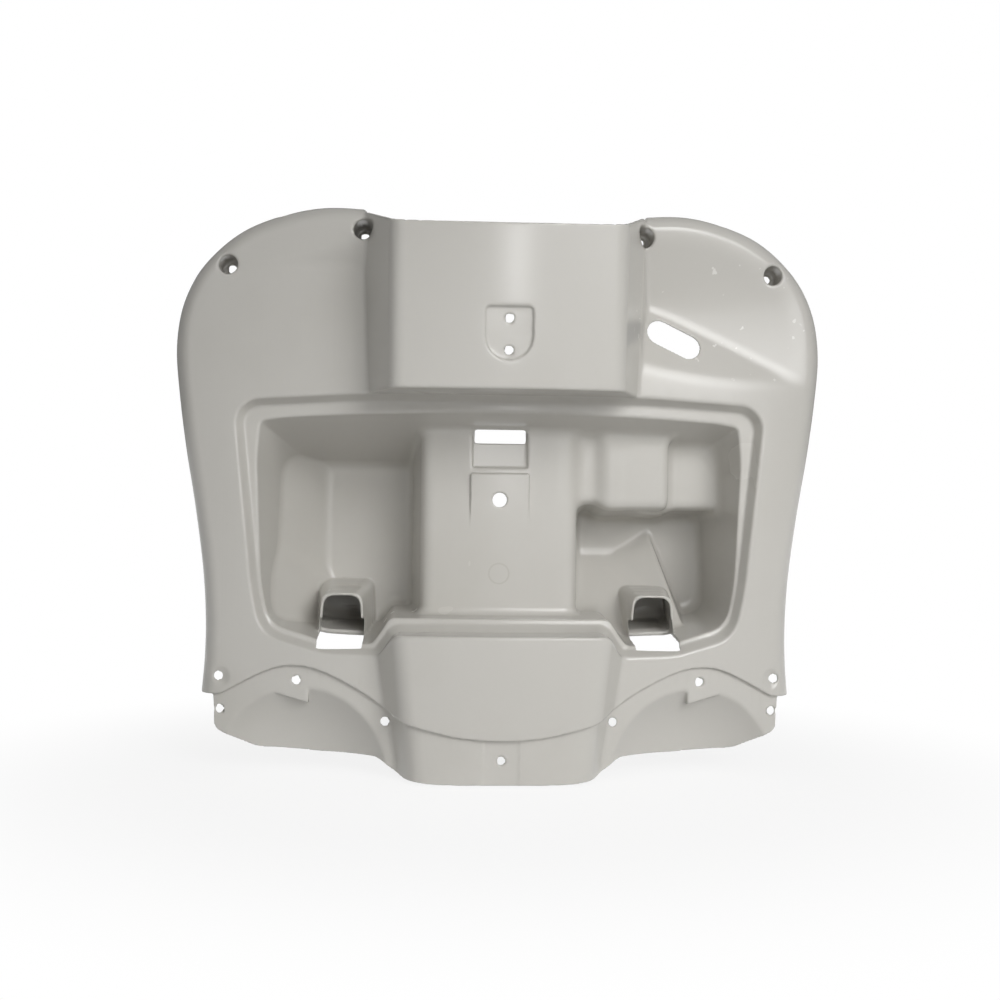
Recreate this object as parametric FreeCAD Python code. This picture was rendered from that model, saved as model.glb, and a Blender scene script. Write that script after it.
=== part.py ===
import FreeCAD, Part
import math
import os

# Inner leg shield of a scooter with an open glove box, moulded in one piece.
# X runs to the rider's right, Y away from the rider, Z up.
# Depths are measured along Y from the crown of the panel. At the end the origin is moved to the bolt hole
# on the pad of the steering column cover. All sizes are in millimetres.

# Shell
WALL = 2.5
PANEL_RADIUS = 950.0
RIM_DEPTH = 14.0
RIM_ROUND = 9.0
BACK_DEPTH = 135.0
JOGGLE = 4.0

# Right half of the rim, from the top middle down to the lower corner
RIM_HALF = [(40, 205.5), (81, 206.5), (115, 210.5), (138, 210.5), (161.5, 206), (188, 196.5), (209, 182),
            (226, 163), (237, 139), (241, 110), (238.5, 77), (233, 37), (225.5, -6), (219, -52), (216.5, -88),
            (216.8, -117)]
RIM_TOP = 205.3
LOWER_CORNER = (219.0, -144.5)

# Right half of the lower edge of the panel, from the corner inwards
ARCH_START = (203.0, -143.5)
ARCH_HALF = [(172, -127), (152, -121.7), (130, -125), (101, -139), (79, -153.5), (58, -161), (29, -167.5)]
ARCH_MIDDLE = -169.5

# Right half of the lower flange: corners and their radii, from the top down,
# and how far the hollow behind it runs past its cut edge
FLANGE_HALF = [(210, -116, 0), (208, -169, 8), (178, -184.5, 25), (131, -188, 60), (88, -188, 14),
               (70, -200, 9), (40, -202, 0)]
FLANGE_LAP = 4.0

# Steering column cover above the box
UPPER_TOP = 205.0
UPPER_TOP_FALL = 0.27
UPPER_HEIGHTS = (60.0, 230.0)
UPPER_BASE_HALF = 98.0
UPPER_FRONT_HALF = 79.5
UPPER_FRONT = -58.0
UPPER_MIDDLE = 130.0
UPPER_LEAN = -0.116
UPPER_CROWN = 8.5
COLUMN_EDGE = 9.0
COLUMN_BASE = 40.0
BOW_RADIUS = 450.0

# Column cover below the box
LOWER_BASE_HALF = 84.0
LOWER_FRONT_HALF = 70.5
LOWER_FRONT = -27.0
LOWER_MIDDLE = -136.0
LOWER_LEAN = -0.10
LOWER_TAPER = 0.095
LOWER_CROWN = 6.0
LOWER_HEIGHTS = (-230.0, -80.0)

# Column cover inside the box
INNER_BASE_HALF = 66.0
INNER_FRONT_HALF = 58.0
INNER_FRONT = 40.5
INNER_CROWN = 2.5
INNER_EDGE = 6.0
INNER_HEIGHTS = (-104.0, 72.0)

# Pad with the bolt hole, the latch slot and the channel below it
PAD_HALF = 22.0
PAD_TOP = 20.0
PAD_BOTTOM = -26.0
PAD_DEPTH = 36.0
PAD_LEAN = 0.09
PAD_ROOT = 1.5
BOLT_RADIUS = 5.5
SLOT_HALF = 19.0
SLOT_TOP = 52.5
SLOT_HEIGHT = 10.0
SLOT_REACH = 20.0
CHANNEL_HALF = 20.5
CHANNEL_BOTTOM = 24.0
CHANNEL_DEPTH = 3.5
CHANNEL_LAP = 1.0

# Rebate for the lid: right half of its outline with corner radii, from the top middle
REBATE_HALF = [(106, 75.5, 60), (196, 71, 18), (181.5, -66, 160), (174, -100, 26), (129, -112.5, 60),
               (88, -113.5, 9), (76, -95.5, 9)]
LEDGE_DEPTH = 10.0
LEDGE_LAP = 6.0

# Tub behind the rebate: right half of the mouth and of the back wall
MOUTH_HALF = [(187.5, 65.5, 13), (177, -66, 150), (168, -94, 20), (129, -106, 60), (93, -107.5, 7),
              (80, -87, 7)]
BACK_HALF = [(160, 27, 10), (167, -60, 150), (167, -86, 12), (128, -95, 60), (90, -97, 5), (80, -84, 5)]
TUB_DEPTH = 115.0

# Bulges in the right compartment: inner side, outer side, bottom, front depth, and their draft
BULGES = [(50.0, 90.0, -2.0, 51.0), (78.0, 129.0, -6.0, 46.0), (112.0, 169.5, -6.0, 66.0)]
BULGE_TOP = 72.0
BULGE_EDGE = 7.0
BULGE_DRAFT = 0.1
BULGE_SIDE_DRAFT = 0.03

# Ramp on the right compartment's floor: two sides, height at the back, run along the floor
RAMP_FLOOR = -112.0
RAMP_ROOT = 20.0
RIGHT_RAMP = (60.0, 128.0, -46.0, 62.0)

# Flat facets in the lower corners of the compartments, each through three points (X, depth, Z)
LEFT_SLOPE = [(-160.0, 97.0, -37.5), (-125.0, 115.0, -70.0), (-170.0, 50.0, -85.0)]
LEFT_FACET = [(-157.0, 95.0, 0.0), (-133.0, 115.0, 0.0), (-157.0, 95.0, -10.0)]
LEFT_FACET_TOP = 24.0
RIGHT_SLOPE = [(99.0, 115.0, -42.0), (124.0, 115.0, -25.0), (137.0, 85.0, -70.0)]
RIGHT_SLOPE_END = [(124.0, 115.0, -25.0), (137.0, 85.0, -70.0), (128.0, 135.0, -25.0)]
CORNER_OUTER = 185.0
CORNER_FRONT = 40.0
CORNER_FLOOR = -112.0

# Arched collars on the compartment floors
COLLAR_INNER = 98.5
COLLAR_OUTER = 135.5
COLLAR_TAPER = 3.5
COLLAR_TOP = -71.0
COLLAR_ROUND = 7.0
COLLAR_WALL = 2.0
COLLAR_FRONT = 45.0
COLLAR_DRAFT = 0.1
COLLAR_FOOT = -125.0
FLOOR_HOLE_DEPTHS = (15.0, 60.0)
FLOOR_HOLE_HEIGHTS = (-130.0, -90.0)

# Key switch recess in the right wing: ring on the panel, deepest point, and the oblong hole
RECESS_RING = [(99.5, 194), (150, 193.5), (187, 180), (216, 159), (226, 135), (224, 90), (99.5, 99)]
RECESS_DEEPEST = (105.0, 28.0, 147.0)
RECESS_REACH = 1.35
RECESS_CAP = (140.0, 140.0)
RECESS_CAP_RISE = 5.0
RECESS_WALL = 1.2
SWITCH_AT = (126.5, 120.0)
SWITCH_LENGTH = 42.0
SWITCH_WIDTH = 18.0
SWITCH_TURN = -26.0
SWITCH_FRONT = -5.0

# Raised shoulder on the left wing
SHOULDER_END = (-186.0, 168.0)
SHOULDER_FOOT = 164.0
SHOULDER_CREST = 184.0
SHOULDER_HEIGHT = 9.0
SHOULDER_TOP = 204.0
SHOULDER_ROOT = 9.0
SHOULDER_SINK = 0.6

# Toe bowls in the lower flange, each the hollow of a ball, and the tab that hangs over each one
BOWL_AT = (154.4, -54.0, -203.6)
BOWL_RADIUS = 96.0
TAB = [(138.5, -149, 0), (164, -142, 0), (164, -110, 0), (138.5, -110, 0)]

# Recess for the bag hook on the upper cover
HOOK_HALF = 16.2
HOOK_TOP = 131.0
HOOK_BOTTOM = 95.0
HOOK_DEPTH = 2.5
HOOK_CORNER = 3.0
HOOK_HOLES = (123.0, 101.5)

# Screw holes: (X, Z) of the right one of each mirrored pair
SCREW_RADIUS = 2.6
WELL_RADIUS = 7.0
WELL_DEPTH = 24.0
WELL_SCREWS = [(102, 192.5), (201, 169.5)]
PLAIN_SCREWS = [(205, -130.5), (204, -155), (148, -132.5), (82.5, -161)]
FLOOR_SCREW = -184.0
STRIP_HALF = 12.5
STRIP_DEPTH = 1.0

# Space behind the panel that the hollows may fill
SPACE_FRONT = -10.0
SPACE_MARGIN = 1.0
WING_SPACE = [(90, 80, 0), (212, 78, 0), (218, 130, 0), (210, 155, 0), (178, 183, 0), (90, 201, 0)]
TOE_SPACE = (81.0, 201.0, -220.0, -118.0)

FAR = 400.0


def point(x, depth, z):
    return FreeCAD.Vector(x, depth, z)


def panel_depth(x):
    """Depth of the curved panel at a distance x from the middle."""
    return PANEL_RADIUS - math.sqrt(PANEL_RADIUS ** 2 - x ** 2)


def mirrored(half):
    """Corners of a whole outline from its right half, which starts at the top."""
    return half + [(-corner[0],) + tuple(corner[1:]) for corner in reversed(half)]


def grown(corners, amount):
    """The outline with each side moved out by an amount, and the corner radii changed to suit."""
    area = 0.0
    for (ax, az, _), (bx, bz, _) in zip(corners, corners[1:] + corners[:1]):
        area += ax * bz - bx * az
    turn = 1.0 if area > 0 else -1.0
    result = []
    for index, (x, z, radius) in enumerate(corners):
        before = corners[index - 1]
        after = corners[(index + 1) % len(corners)]
        first = FreeCAD.Vector(x - before[0], z - before[1], 0).normalize()
        second = FreeCAD.Vector(after[0] - x, after[1] - z, 0).normalize()
        first_out = FreeCAD.Vector(first.y, -first.x, 0) * turn
        second_out = FreeCAD.Vector(second.y, -second.x, 0) * turn
        shift = (first_out + second_out) * (amount / (1.0 + first_out.dot(second_out)))
        convex = (first.x * second.y - first.y * second.x) * turn > 0
        new_radius = radius + (amount if convex else -amount) if radius else 0.0
        result.append((x + shift.x, z + shift.y, max(new_radius, 0.0)))
    return result


def loop(corners, place):
    """Closed wire through corners (u, v, radius), with a tangent arc at each corner that has a radius."""
    starts = []
    for index, (u, v, radius) in enumerate(corners):
        corner = FreeCAD.Vector(u, v, 0)
        before = FreeCAD.Vector(corners[index - 1][0], corners[index - 1][1], 0)
        after = FreeCAD.Vector(*corners[(index + 1) % len(corners)][:2], 0)
        to_before = (before - corner).normalize()
        to_after = (after - corner).normalize()
        half_angle = 0.5 * to_before.getAngle(to_after)
        reach = radius / math.tan(half_angle)
        middle = (to_before + to_after)
        if radius:
            middle = middle.normalize() * (radius / math.sin(half_angle) - radius)
        starts.append((corner + to_before * reach, corner + middle, corner + to_after * reach, radius))
    edges = []
    for index, (enter, middle, leave, radius) in enumerate(starts):
        following = starts[(index + 1) % len(starts)][0]
        if radius:
            edges.append(Part.Arc(place(enter), place(middle), place(leave)).toShape())
            edges.append(Part.makeLine(place(leave), place(following)))
        else:
            edges.append(Part.makeLine(place(FreeCAD.Vector(*corners[index][:2], 0)), place(following)))
    return Part.Wire(edges)


def front_loop(corners, depth):
    return loop(corners, lambda at: point(at.x, depth, at.y))


def prism(corners, near, far):
    """Outline in X and Z, run straight back from one depth to another."""
    return Part.Face(front_loop(corners, near)).extrude(point(0, far - near, 0))


def block(x0, x1, depth0, depth1, z0, z1):
    return Part.makeBox(x1 - x0, depth1 - depth0, z1 - z0, point(x0, depth0, z0))


def drill(x, z, radius, near=-FAR, far=FAR):
    return Part.makeCylinder(radius, far - near, point(x, near, z), point(0, 1, 0))


def outward(solid):
    """The solid with its faces turned to face out."""
    if solid.Volume < 0:
        solid.reverse()
    return solid


def polyhedron(apex, ring, cap):
    """Solid with a fan of faces from its apex to a ring of points, closed by a second fan."""
    faces = []
    for start, end in zip(ring, ring[1:] + ring[:1]):
        faces.append(Part.Face(Part.makePolygon([apex, start, end, apex])))
        faces.append(Part.Face(Part.makePolygon([cap, end, start, cap])))
    return outward(Part.makeSolid(Part.makeShell(faces)))


def behind_plane(points, inset):
    """Everything behind the plane through three points, moved back by an inset."""
    first, second, third = [point(*at) for at in points]
    normal = (second - first).cross(third - first).normalize()
    if normal.y > 0:
        normal = normal * -1.0
    across = normal.cross(point(0, 0, 1)).normalize() * FAR
    along = normal.cross(across)
    middle = first - normal * inset
    corners = []
    for right, up in ((-1, -1), (1, -1), (1, 1), (-1, 1)):
        corners.append(middle + across * right + along * up)
    return Part.Face(Part.makePolygon(corners + corners[:1])).extrude(normal * -FAR)


def rim_points(inset):
    """Points along the rim from the lower right corner over the top to the lower left one."""
    half = [LOWER_CORNER] + [tuple(at) for at in reversed(RIM_HALF)]
    outline = half + [(0.0, RIM_TOP)] + [(-x, z) for x, z in reversed(half)]
    moved = []
    for index, (x, z) in enumerate(outline):
        ahead = outline[min(index + 1, len(outline) - 1)]
        behind = outline[max(index - 1, 0)]
        along = FreeCAD.Vector(ahead[0] - behind[0], ahead[1] - behind[1], 0).normalize()
        moved.append((x - along.y * inset, z + along.x * inset))
    return moved


def curve(points, near):
    spline = Part.BSplineCurve()
    spline.interpolate([point(x, near, z) for x, z in points])
    return spline.toShape()


def arch_points(raised):
    """Points along the lower edge of the panel from right to left, moved up by an amount."""
    half = [ARCH_START] + [tuple(at) for at in ARCH_HALF]
    whole = half + [(0.0, ARCH_MIDDLE)] + [(-x, z) for x, z in reversed(half)]
    return [(x, z + raised) for x, z in whole]


def upper_prism(inset):
    """Everything within the rim and above the lower edge of the panel."""
    near = -FAR
    rim = rim_points(inset)
    arch = arch_points(1.25 * inset)
    edges = [
        curve(rim, near),
        Part.makeLine(point(rim[-1][0], near, rim[-1][1]), point(arch[-1][0], near, arch[-1][1])),
        curve(arch, near),
        Part.makeLine(point(arch[0][0], near, arch[0][1]), point(rim[0][0], near, rim[0][1])),
    ]
    return Part.Face(Part.Wire(Part.__sortEdges__(edges))).extrude(point(0, FAR + BACK_DEPTH + inset, 0))


def behind_panel(inset):
    """Everything behind the curved panel face."""
    return Part.makeCylinder(PANEL_RADIUS - inset, 2 * FAR, point(0, PANEL_RADIUS, -FAR), point(0, 0, 1))


def panel(inset):
    """Panel with its rim rolled back."""
    solid = behind_panel(inset).common(upper_prism(inset))
    front = [edge for edge in solid.Edges if edge.Length > 1000 and edge.BoundBox.YMin < RIM_DEPTH]
    return solid.makeFillet(RIM_ROUND - inset, front)


def column(base_half, front_half, front, crown, heights, middle, lean, taper, inset):
    """Drafted cover with a bowed front, leaning and narrowing down its height from its middle."""
    rise = (base_half - front_half) / -front
    side = inset * math.sqrt(1.0 + rise ** 2)
    rings = []
    for z in heights:
        narrower = taper * (middle - z)
        half = front_half - narrower - side + inset * rise
        deep = base_half - narrower - side + COLUMN_BASE * rise
        shift = lean * (z - middle)
        corners = [(deep, COLUMN_BASE + shift, 0), (half, front + inset + shift, COLUMN_EDGE),
                   (0, front - crown + inset + shift, BOW_RADIUS), (-half, front + inset + shift, COLUMN_EDGE),
                   (-deep, COLUMN_BASE + shift, 0)]
        rings.append(loop(corners, lambda at: point(at.x, at.y, z)))
    return outward(Part.makeLoft(rings, True, True))


def upper_cover(inset):
    """Upper cover. Its top falls towards the rider, and the hollow behind it runs out through the top."""
    cover = column(UPPER_BASE_HALF, UPPER_FRONT_HALF, UPPER_FRONT, UPPER_CROWN, UPPER_HEIGHTS, UPPER_MIDDLE,
                   UPPER_LEAN, 0.0, inset)
    if inset:
        return cover
    fall = UPPER_TOP_FALL * FAR
    corners = [(-FAR, 0.0, 0), (FAR, 0.0, 0), (FAR, UPPER_TOP, 0), (0.0, UPPER_TOP, 0),
               (-FAR, UPPER_TOP - fall, 0)]
    below = Part.Face(loop(corners, lambda at: point(-FAR, at.x, at.y))).extrude(point(2 * FAR, 0, 0))
    return cover.common(below)


def lower_cover(inset):
    return column(LOWER_BASE_HALF, LOWER_FRONT_HALF, LOWER_FRONT, LOWER_CROWN, LOWER_HEIGHTS, LOWER_MIDDLE,
                  LOWER_LEAN, LOWER_TAPER, inset)


def flange(inset):
    """Lower flange, set back from the panel by the joggle and left with a plain cut edge."""
    corners = mirrored(FLANGE_HALF)
    if inset:
        corners = grown(corners, FLANGE_LAP)
    form = behind_panel(JOGGLE + inset).fuse(lower_cover(JOGGLE + inset))
    return form.common(prism(corners, -FAR, BACK_DEPTH + inset))


def rebate(inset):
    corners = grown(mirrored(REBATE_HALF), inset)
    return prism(corners, -FAR, FAR).cut(behind_panel(LEDGE_DEPTH + inset))


def tub(inset):
    near = LEDGE_DEPTH - LEDGE_LAP
    mouth = front_loop(grown(mirrored(MOUTH_HALF), inset), near)
    back = front_loop(grown(mirrored(BACK_HALF), inset), TUB_DEPTH + inset)
    return outward(Part.makeLoft([mouth, back], True, True))


def inner_cover(inset):
    rise = (INNER_BASE_HALF - INNER_FRONT_HALF) / (TUB_DEPTH - INNER_FRONT)
    side = inset * math.sqrt(1.0 + rise ** 2)
    end = BACK_DEPTH + inset
    half = INNER_FRONT_HALF - side + inset * rise
    deep = INNER_FRONT_HALF - side + (end - INNER_FRONT) * rise
    front = INNER_FRONT + inset
    corners = [(deep, end, 0), (half, front, INNER_EDGE), (0, front - INNER_CROWN, BOW_RADIUS),
               (-half, front, INNER_EDGE), (-deep, end, 0)]
    low, high = INNER_HEIGHTS
    section = loop(corners, lambda at: point(at.x, at.y, low))
    return Part.Face(section).extrude(point(0, 0, high - low))


def bulge(side_in, side_out, bottom, front, inset):
    """Block that stands into the right compartment from its back wall, with a rounded lower corner."""
    end = BACK_DEPTH + inset
    rings = []
    for depth in (front + inset, end):
        run = depth - front - inset
        low = bottom + inset - BULGE_DRAFT * run
        outer = side_out - inset + BULGE_SIDE_DRAFT * run
        corners = [(side_in + inset, low, 0), (outer, low, BULGE_EDGE), (outer, BULGE_TOP, 0),
                   (side_in + inset, BULGE_TOP, 0)]
        rings.append(front_loop(corners, depth))
    return outward(Part.makeLoft(rings, True, True))


def ramp(side_a, side_b, height, run, inset):
    """Sloping floor at the back of a compartment."""
    end = BACK_DEPTH + inset
    foot = TUB_DEPTH - run
    rise = (height - RAMP_FLOOR) / run
    lift = inset * math.sqrt(1.0 + rise ** 2)
    low = RAMP_FLOOR - RAMP_ROOT
    corners = [(foot, low, 0), (foot, RAMP_FLOOR - lift, 0), (end, RAMP_FLOOR + rise * (end - foot) - lift, 0),
               (end, low, 0)]
    section = loop(corners, lambda at: point(side_a + inset, at.x, at.y))
    return Part.Face(section).extrude(point(side_b - side_a - 2 * inset, 0, 0))


def left_corner(inset):
    """Upright facet and sloping facet in the lower outer corner of the left compartment."""
    end = BACK_DEPTH + inset
    top = LEFT_FACET_TOP - inset
    upright = block(-CORNER_OUTER, LEFT_FACET[1][0] + WALL, CORNER_FRONT, end, CORNER_FLOOR, top)
    sloping = block(-CORNER_OUTER, -COLLAR_INNER, CORNER_FRONT, end, CORNER_FLOOR, top)
    return [upright.common(behind_plane(LEFT_FACET, inset)), sloping.common(behind_plane(LEFT_SLOPE, inset))]


def right_corner(inset):
    """Sloping facet that rises from the ramp to a peak at the back of the right compartment."""
    space = block(RIGHT_RAMP[0], CORNER_OUTER, CORNER_FRONT, BACK_DEPTH + inset, CORNER_FLOOR, 0.0)
    return space.common(behind_plane(RIGHT_SLOPE, inset)).common(behind_plane(RIGHT_SLOPE_END, inset))


def switch_recess(inset):
    deepest = point(*RECESS_DEEPEST)
    ring = []
    for x, z in RECESS_RING:
        rim = point(x, panel_depth(x), z)
        ring.append(deepest + (rim - deepest) * RECESS_REACH)
    cap = point(RECESS_CAP[0], min(at.y for at in ring) - RECESS_CAP_RISE, RECESS_CAP[1])
    solid = polyhedron(deepest, ring, cap)
    solid.translate(point(0, RECESS_WALL * inset, 0))
    return solid


def shoulder(inset):
    """Raised shoulder along the top of the left wing, growing from nothing to its height at the cover."""
    x = -UPPER_BASE_HALF
    surface = panel_depth(x) + SHOULDER_SINK
    end = point(SHOULDER_END[0], panel_depth(SHOULDER_END[0]) + SHOULDER_SINK, SHOULDER_END[1])
    high = point(x, surface - SHOULDER_HEIGHT, SHOULDER_CREST)
    root = surface + SHOULDER_ROOT
    ring = [point(x, surface, SHOULDER_FOOT), high, point(x, surface - SHOULDER_HEIGHT, SHOULDER_TOP),
            point(x, root, SHOULDER_TOP), point(x, root, SHOULDER_FOOT)]
    solid = polyhedron(end, ring, point(x + SHOULDER_ROOT, surface, SHOULDER_CREST))
    solid.translate(point(0, inset, 0))
    return solid


def bowl(side, inset):
    """Round hollow for the toes, less the tab with a screw hole that hangs over it."""
    ball = Part.makeSphere(BOWL_RADIUS + inset, point(side * BOWL_AT[0], BOWL_AT[1], BOWL_AT[2]))
    corners = [(side * x, z, radius) for x, z, radius in TAB]
    return ball.common(behind_panel(0.0)).cut(prism(grown(corners, -inset), -FAR, FAR))


def hook_recess(inset):
    """Shallow recess with a flat top and a round bottom on the upper cover."""
    half = HOOK_HALF + inset
    corners = [(half, HOOK_TOP + inset, HOOK_CORNER), (half, HOOK_BOTTOM - inset, 0.998 * half),
               (-half, HOOK_BOTTOM - inset, 0.998 * half), (-half, HOOK_TOP + inset, HOOK_CORNER)]
    at_top = column_front(HOOK_TOP) + HOOK_DEPTH + inset
    at_bottom = column_front(HOOK_BOTTOM) + HOOK_DEPTH + inset
    slope = (at_top - at_bottom) / (HOOK_TOP - HOOK_BOTTOM)
    high = HOOK_TOP + HOOK_HALF
    low = HOOK_BOTTOM - HOOK_HALF
    side = [(-FAR, low, 0), (at_bottom + slope * (low - HOOK_BOTTOM), low, 0),
            (at_top + slope * (high - HOOK_TOP), high, 0), (-FAR, high, 0)]
    floor = Part.Face(loop(side, lambda at: point(-FAR, at.x, at.y))).extrude(point(2 * FAR, 0, 0))
    return prism(corners, -FAR, 0.0).common(floor)


def column_front(z):
    """Depth of the middle of the upper cover's front at a height."""
    flattened = BOW_RADIUS * (math.hypot(1.0, UPPER_CROWN / UPPER_FRONT_HALF) - 1.0)
    return UPPER_FRONT - UPPER_CROWN + flattened + UPPER_LEAN * (z - UPPER_MIDDLE)


def channel(inset):
    """Shallow channel that leads up to the latch slot."""
    half = CHANNEL_HALF + inset
    return block(-half, half, 0.0, INNER_FRONT - INNER_CROWN + CHANNEL_DEPTH + inset,
                 CHANNEL_BOTTOM - inset, SLOT_TOP + CHANNEL_LAP)


def strip(inset):
    """Shallow strip for the floor panel, down the middle of the lower flange."""
    half = STRIP_HALF + inset
    floor = LOWER_FRONT - LOWER_CROWN + JOGGLE + STRIP_DEPTH + LOWER_LEAN * (FLOOR_SCREW - LOWER_MIDDLE)
    return block(-half, half, -FAR, floor + inset, LOWER_HEIGHTS[0], ARCH_MIDDLE - STRIP_DEPTH)


def wells(inset):
    """Screw wells along the top of the panel."""
    tools = []
    for x, z in WELL_SCREWS:
        floor = panel_depth(x) + WELL_DEPTH + inset
        for side in (-1, 1):
            tools.append(drill(side * x, z, WELL_RADIUS + inset, -FAR, floor))
    return tools


def body(inset):
    """Everything behind the rider's side of the moulding, with that side moved back by an inset."""
    solid = panel(inset).fuse([lower_cover(inset).common(upper_prism(inset)), flange(inset), shoulder(inset)])
    solid = solid.cut(switch_recess(inset)).fuse(upper_cover(inset))
    hollows = [rebate(inset), tub(inset), bowl(-1, inset), bowl(1, inset), hook_recess(inset), strip(inset)]
    solid = solid.cut(hollows + wells(inset))
    forms = [inner_cover(inset).cut(channel(inset)), ramp(*RIGHT_RAMP, inset), right_corner(inset)]
    forms += left_corner(inset)
    for sizes in BULGES:
        forms.append(bulge(*sizes, inset))
    return solid.fuse(forms)


def kept_space():
    """Space that the moulding may fill: a layer behind the panel, and all of it behind the hollows."""
    layer = Part.makeBox(2 * FAR, 2 * FAR, 2 * FAR, point(-FAR, -FAR, -FAR))
    layer = layer.cut(behind_panel(RIM_DEPTH))
    parts = [prism(grown(mirrored(REBATE_HALF), WALL + SPACE_MARGIN), SPACE_FRONT, FAR),
             prism(WING_SPACE, SPACE_FRONT, FAR)]
    inner, outer, low, high = TOE_SPACE
    for side in (-1, 1):
        x0, x1 = sorted((side * inner, side * outer))
        parts.append(block(x0, x1, SPACE_FRONT, FAR, low, high))
        for x, z in WELL_SCREWS:
            parts.append(drill(side * x, z, WELL_RADIUS + WALL + SPACE_MARGIN, SPACE_FRONT, FAR))
    return layer.fuse(parts)


def collar_form(side, wall, near, far):
    """Arched block that stands on a compartment floor, a wall smaller than the collar's outside."""
    rings = []
    for depth in (near, far):
        extra = COLLAR_DRAFT * (depth - COLLAR_FRONT) - wall
        inner = side * (COLLAR_INNER - extra)
        outer = side * (COLLAR_OUTER + extra)
        top = COLLAR_TOP + extra
        lean = side * COLLAR_TAPER
        corners = [(inner, COLLAR_FOOT, 0), (inner + lean, top, COLLAR_ROUND - wall),
                   (outer - lean, top, COLLAR_ROUND - wall), (outer, COLLAR_FOOT, 0)]
        rings.append(front_loop(corners, depth))
    return outward(Part.makeLoft(rings, True, True))


def pad():
    """Flat pad that stands proud of the inner cover at its top and runs into it at its bottom."""
    lean = PAD_LEAN
    root = INNER_FRONT + PAD_ROOT
    corners = [(PAD_DEPTH - lean * PAD_TOP, PAD_TOP, 0), (PAD_DEPTH - lean * PAD_BOTTOM, PAD_BOTTOM, 0),
               (root, PAD_BOTTOM, 0), (root, PAD_TOP, 0)]
    section = loop(corners, lambda at: point(-PAD_HALF, at.x, at.y))
    return Part.Face(section).extrude(point(2 * PAD_HALF, 0, 0))


def oblong(at, length, width, turn):
    """Straight tool with round ends, long axis turned in the X Z plane."""
    half = 0.5 * length
    radius = 0.5 * width
    corners = [(half, radius, radius * 0.999), (half, -radius, radius * 0.999),
               (-half, -radius, radius * 0.999), (-half, radius, radius * 0.999)]
    tool = prism(corners, SWITCH_FRONT, FAR)
    tool.rotate(point(0, 0, 0), point(0, -1, 0), turn)
    tool.translate(point(at[0], 0, at[1]))
    return tool


def screw_holes():
    tools = [drill(0, 0, BOLT_RADIUS), drill(0, FLOOR_SCREW, SCREW_RADIUS)]
    for x, z in WELL_SCREWS + PLAIN_SCREWS:
        tools += [drill(-x, z, SCREW_RADIUS), drill(x, z, SCREW_RADIUS)]
    for z in HOOK_HOLES:
        tools.append(drill(0, z, SCREW_RADIUS, -FAR, 0.0))
    return tools


def moulding():
    shell = body(0.0).cut(body(WALL)).common(kept_space())
    inside = tub(0.5 * WALL)
    hollow = tub(0.0)
    added = [pad()]
    tunnels = []
    for side in (-1, 1):
        added.append(collar_form(side, 0.0, COLLAR_FRONT, TUB_DEPTH + 0.5 * WALL).common(inside))
        tunnels.append(collar_form(side, COLLAR_WALL, COLLAR_FRONT - COLLAR_WALL, TUB_DEPTH).common(hollow))
        x0, x1 = sorted((side * (COLLAR_INNER + COLLAR_WALL), side * (COLLAR_OUTER - COLLAR_WALL)))
        tunnels.append(block(x0, x1, *FLOOR_HOLE_DEPTHS, *FLOOR_HOLE_HEIGHTS))
    slot = block(-SLOT_HALF, SLOT_HALF, INNER_FRONT - SLOT_REACH, INNER_FRONT + SLOT_REACH,
                 SLOT_TOP - SLOT_HEIGHT, SLOT_TOP)
    switch = oblong(SWITCH_AT, SWITCH_LENGTH, SWITCH_WIDTH, SWITCH_TURN)
    shell = shell.fuse(added).cut(tunnels + [slot, switch] + screw_holes())
    return shell.removeSplitter()


os.makedirs("parts", exist_ok=True)
shield = moulding()
shield.translate(point(0, -PAD_DEPTH, 0))
print(shield.ShapeType, len(shield.Solids), shield.isValid(), round(shield.Volume / 1000.0, 1), shield.BoundBox)
shield.exportStep("parts/leg_shield.step")
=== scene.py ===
import math

import bpy
import numpy as np
from mathutils import Matrix, Vector

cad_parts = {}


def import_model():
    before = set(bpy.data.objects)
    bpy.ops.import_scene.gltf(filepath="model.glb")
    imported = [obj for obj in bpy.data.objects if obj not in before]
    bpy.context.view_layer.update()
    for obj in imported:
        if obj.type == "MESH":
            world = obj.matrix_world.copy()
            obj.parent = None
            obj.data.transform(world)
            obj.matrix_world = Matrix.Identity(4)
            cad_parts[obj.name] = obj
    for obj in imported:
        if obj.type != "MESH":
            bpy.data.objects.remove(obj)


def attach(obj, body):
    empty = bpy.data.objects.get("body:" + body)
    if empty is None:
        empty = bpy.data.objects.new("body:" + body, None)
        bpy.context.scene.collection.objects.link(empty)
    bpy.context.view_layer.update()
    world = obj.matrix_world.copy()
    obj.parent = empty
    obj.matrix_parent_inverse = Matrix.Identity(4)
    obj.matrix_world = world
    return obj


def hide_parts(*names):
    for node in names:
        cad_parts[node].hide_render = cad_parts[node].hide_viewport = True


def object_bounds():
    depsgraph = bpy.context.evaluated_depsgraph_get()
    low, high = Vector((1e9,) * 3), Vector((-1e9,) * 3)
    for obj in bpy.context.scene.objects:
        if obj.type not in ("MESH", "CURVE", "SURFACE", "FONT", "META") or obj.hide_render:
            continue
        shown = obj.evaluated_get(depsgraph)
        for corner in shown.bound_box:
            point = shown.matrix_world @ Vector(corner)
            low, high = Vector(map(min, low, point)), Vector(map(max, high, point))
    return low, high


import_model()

bl_info = {
    "name": "Scooter glove box shield",
    "version": (1, 0, 0),
    "blender": (4, 5, 0),
    "location": "3D View > Sidebar > Glove box",
    "description": "Moulded inner leg shield of a scooter with an open glove box, and a plain studio for it",
    "category": "Object",
}

CAD_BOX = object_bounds()

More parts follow.
